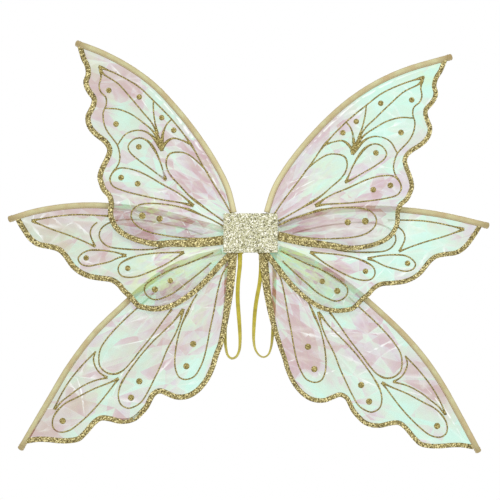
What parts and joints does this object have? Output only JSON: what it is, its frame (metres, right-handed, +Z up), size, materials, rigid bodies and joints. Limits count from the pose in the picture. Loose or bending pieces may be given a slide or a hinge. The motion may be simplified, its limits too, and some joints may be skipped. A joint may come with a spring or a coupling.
{
  "type": "fairy wings",
  "caption": "Costume fairy wings: overlapping iridescent film wings on bent wire with gold glitter edges, a glitter centre patch and elastic arm loops.",
  "frame": {"origin": "centre of the back pad's rear face, which rests on the wearer's back", "axes": "+X to the right seen from the glitter cover's side, along the wing span; +Y towards the wearer's back; +Z up"},
  "size_m": [0.9052, 0.0453, 0.7767],
  "materials": {
    "glitter_fabric": "champagne glitter fabric, grainy sparkle",
    "gold_glitter": "old-gold glitter print on film",
    "gold_organza": "tan-gold shiny woven tube, soft sheen",
    "iridescent_film": "clear iridescent film, pink to mint, creased gloss",
    "steel": "drawn wire",
    "plate_plastic": "matte off-white sheet",
    "back_felt": "pale gold felt",
    "elastic": "olive-gold woven elastic"
  },
  "bodies": {
    "hub": {"glitter_cover": "glitter_fabric", "clamp_plate": "plate_plastic", "base_plate": "plate_plastic", "back_pad": "back_felt", "rivet_1": "steel", "rivet_2": "steel", "rivet_3": "steel", "rivet_4": "steel", "strap_anchor_left": "elastic", "strap_anchor_right": "elastic", "wire_root_left_upper": "steel", "film_root_left_upper": "iridescent_film", "wire_root_left_middle": "steel", "film_root_left_middle": "iridescent_film", "wire_root_left_lower": "steel", "film_root_left_lower": "iridescent_film", "wire_root_right_upper": "steel", "film_root_right_upper": "iridescent_film", "wire_root_right_middle": "steel", "film_root_right_middle": "iridescent_film", "wire_root_right_lower": "steel", "film_root_right_lower": "iridescent_film", "casing_root_left_upper": "gold_organza", "casing_root_right_upper": "gold_organza"},
    "left_upper_wing": {"wire_left_upper": "steel", "casing_left_upper": "gold_organza", "tip_cap_left_upper": "gold_organza", "film_left_upper": "iridescent_film", "glitter_edge_left_upper": "gold_glitter"},
    "left_middle_wing": {"wire_left_middle": "steel", "casing_left_middle": "gold_organza", "tip_cap_left_middle": "gold_organza", "film_left_middle": "iridescent_film", "glitter_edge_left_middle": "gold_glitter"},
    "left_lower_wing": {"wire_left_lower": "steel", "casing_left_lower": "gold_organza", "tip_cap_left_lower": "gold_organza", "film_left_lower": "iridescent_film", "glitter_edge_left_lower": "gold_glitter"},
    "right_upper_wing": {"wire_right_upper": "steel", "casing_right_upper": "gold_organza", "tip_cap_right_upper": "gold_organza", "film_right_upper": "iridescent_film", "glitter_edge_right_upper": "gold_glitter"},
    "right_middle_wing": {"wire_right_middle": "steel", "casing_right_middle": "gold_organza", "tip_cap_right_middle": "gold_organza", "film_right_middle": "iridescent_film", "glitter_edge_right_middle": "gold_glitter"},
    "right_lower_wing": {"wire_right_lower": "steel", "casing_right_lower": "gold_organza", "tip_cap_right_lower": "gold_organza", "film_right_lower": "iridescent_film", "glitter_edge_right_lower": "gold_glitter"},
    "left_strap_loop": {"strap_left": "elastic"},
    "right_strap_loop": {"strap_right": "elastic"}
  },
  "joints": [
    {"name": "left_upper_fold", "type": "hinge", "parent": "hub", "child": "left_upper_wing", "pos_m": [-0.057, -0.0089, 0], "axis": [0, 0, 1], "range_deg": [-30, 85]},
    {"name": "left_middle_fold", "type": "hinge", "parent": "hub", "child": "left_middle_wing", "pos_m": [-0.057, -0.0089, 0], "axis": [0, 0, 1], "range_deg": [-30, 85]},
    {"name": "left_lower_fold", "type": "hinge", "parent": "hub", "child": "left_lower_wing", "pos_m": [-0.057, -0.0089, 0], "axis": [0, 0, 1], "range_deg": [-30, 85]},
    {"name": "right_upper_fold", "type": "hinge", "parent": "hub", "child": "right_upper_wing", "pos_m": [0.057, -0.0089, 0], "axis": [0, 0, -1], "range_deg": [-30, 85]},
    {"name": "right_middle_fold", "type": "hinge", "parent": "hub", "child": "right_middle_wing", "pos_m": [0.057, -0.0089, 0], "axis": [0, 0, -1], "range_deg": [-30, 85]},
    {"name": "right_lower_fold", "type": "hinge", "parent": "hub", "child": "right_lower_wing", "pos_m": [0.057, -0.0089, 0], "axis": [0, 0, -1], "range_deg": [-30, 85]},
    {"name": "left_strap_swing", "type": "hinge", "parent": "hub", "child": "left_strap_loop", "pos_m": [-0.0325, -0.0023, -0.042], "axis": [1, 0, 0], "range_deg": [0, 120]},
    {"name": "right_strap_swing", "type": "hinge", "parent": "hub", "child": "right_strap_loop", "pos_m": [0.0325, -0.0023, -0.042], "axis": [1, 0, 0], "range_deg": [0, 120]}
  ],
  "couplings": [
    {"joint": "left_middle_fold", "follows": "left_upper_fold", "ratio": 1},
    {"joint": "left_lower_fold", "follows": "left_upper_fold", "ratio": 1},
    {"joint": "right_middle_fold", "follows": "right_upper_fold", "ratio": 1},
    {"joint": "right_lower_fold", "follows": "right_upper_fold", "ratio": 1}
  ]
}
